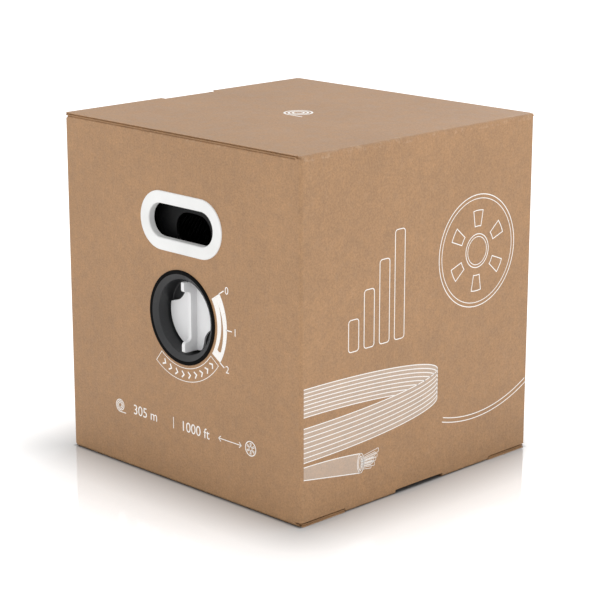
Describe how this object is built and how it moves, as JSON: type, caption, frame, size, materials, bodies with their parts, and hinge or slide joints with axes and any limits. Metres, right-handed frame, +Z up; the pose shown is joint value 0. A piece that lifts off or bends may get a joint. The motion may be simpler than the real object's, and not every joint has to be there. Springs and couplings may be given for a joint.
{
  "type": "cable spool box",
  "caption": "Corrugated carton that holds a reel of network cable on two journals, with a cable port and a brake dial in the front and a hinged tuck-in lid.",
  "frame": {"origin": "centre of the base, on the floor", "axes": "+Z up, -Y towards the front panel with the cable port and the dial, +X towards the side on which the lid is hinged"},
  "size_m": [0.368, 0.364, 0.385],
  "materials": {
    "kraft_board": "unbleached kraft corrugated board",
    "port_white": "moulded, satin gloss",
    "journal_black": "moulded, satin gloss",
    "dial_grey": "moulded, fine texture",
    "reel_black": "moulded, matt",
    "brake_plastic": "moulded, natural",
    "brake_felt": "pressed felt",
    "spring_steel": "drawn wire",
    "zinc_steel": "zinc plated",
    "cable_jacket": "extruded jacket, matt black"
  },
  "bodies": {
    "carton": {"front_panel": "kraft_board", "right_panel": "kraft_board", "back_panel": "kraft_board", "left_panel": "kraft_board", "glue_flap": "kraft_board", "front_bottom_flap": "kraft_board", "back_bottom_flap": "kraft_board", "right_bottom_flap": "kraft_board", "left_bottom_flap": "kraft_board", "bottom_pad": "kraft_board", "front_pad": "kraft_board", "back_pad": "kraft_board", "cable_port": "port_white", "cable_port_ring": "port_white", "front_journal": "journal_black", "front_journal_ring": "journal_black", "back_journal": "journal_black", "back_journal_ring": "journal_black", "spring_retainer": "brake_plastic", "brake_spring": "spring_steel"},
    "lid": {"lid": "kraft_board", "lid_tab": "kraft_board"},
    "front_flap": {"front_dust_flap": "kraft_board"},
    "back_flap": {"back_dust_flap": "kraft_board"},
    "lock_flange": {"lock_flange": "kraft_board"},
    "dial": {"brake_dial": "dial_grey", "dial_screw": "zinc_steel", "brake_cam": "brake_plastic"},
    "brake": {"brake_plunger": "brake_plastic", "brake_pad": "brake_felt"},
    "reel": {"front_flange": "reel_black", "back_flange": "reel_black", "barrel": "reel_black", "front_hub": "reel_black", "back_hub": "reel_black", "reel_bolts": "zinc_steel", "reel_nuts": "zinc_steel", "cable_winding": "cable_jacket"}
  },
  "joints": [
    {"name": "lid_hinge", "type": "hinge", "parent": "carton", "child": "lid", "pos_m": [0.181, 0, 0.382], "axis": [0, 1, 0], "range_deg": [0, 180]},
    {"name": "front_flap_hinge", "type": "hinge", "parent": "carton", "child": "front_flap", "pos_m": [0, -0.1775, 0.379], "axis": [1, 0, 0], "range_deg": [0, 90]},
    {"name": "back_flap_hinge", "type": "hinge", "parent": "carton", "child": "back_flap", "pos_m": [0, 0.1775, 0.379], "axis": [-1, 0, 0], "range_deg": [0, 90]},
    {"name": "lock_flange_hinge", "type": "hinge", "parent": "carton", "child": "lock_flange", "pos_m": [-0.181, 0, 0.379], "axis": [0, -1, 0], "range_deg": [0, 90]},
    {"name": "dial_turn", "type": "hinge", "parent": "carton", "child": "dial", "pos_m": [0.006, -0.1605, 0.188], "axis": [0, 1, 0], "range_deg": [-32.5, 32.5]},
    {"name": "brake_slide", "type": "slide", "parent": "carton", "child": "brake", "axis": [0, 1, 0], "range_m": [-0.00152, 0.00152], "deforming": ["brake_spring"]},
    {"name": "reel_turn", "type": "hinge", "parent": "carton", "child": "reel", "pos_m": [0.006, 0, 0.188], "axis": [0, 1, 0], "continuous": true}
  ],
  "couplings": [
    {"joint": "front_flap_hinge", "follows": "lid_hinge", "ratio": 0.5},
    {"joint": "back_flap_hinge", "follows": "lid_hinge", "ratio": 0.5},
    {"joint": "lock_flange_hinge", "follows": "lid_hinge", "ratio": 0.5},
    {"joint": "brake_slide", "follows": "dial_turn", "m_per_rad": 0.0026444}
  ]
}
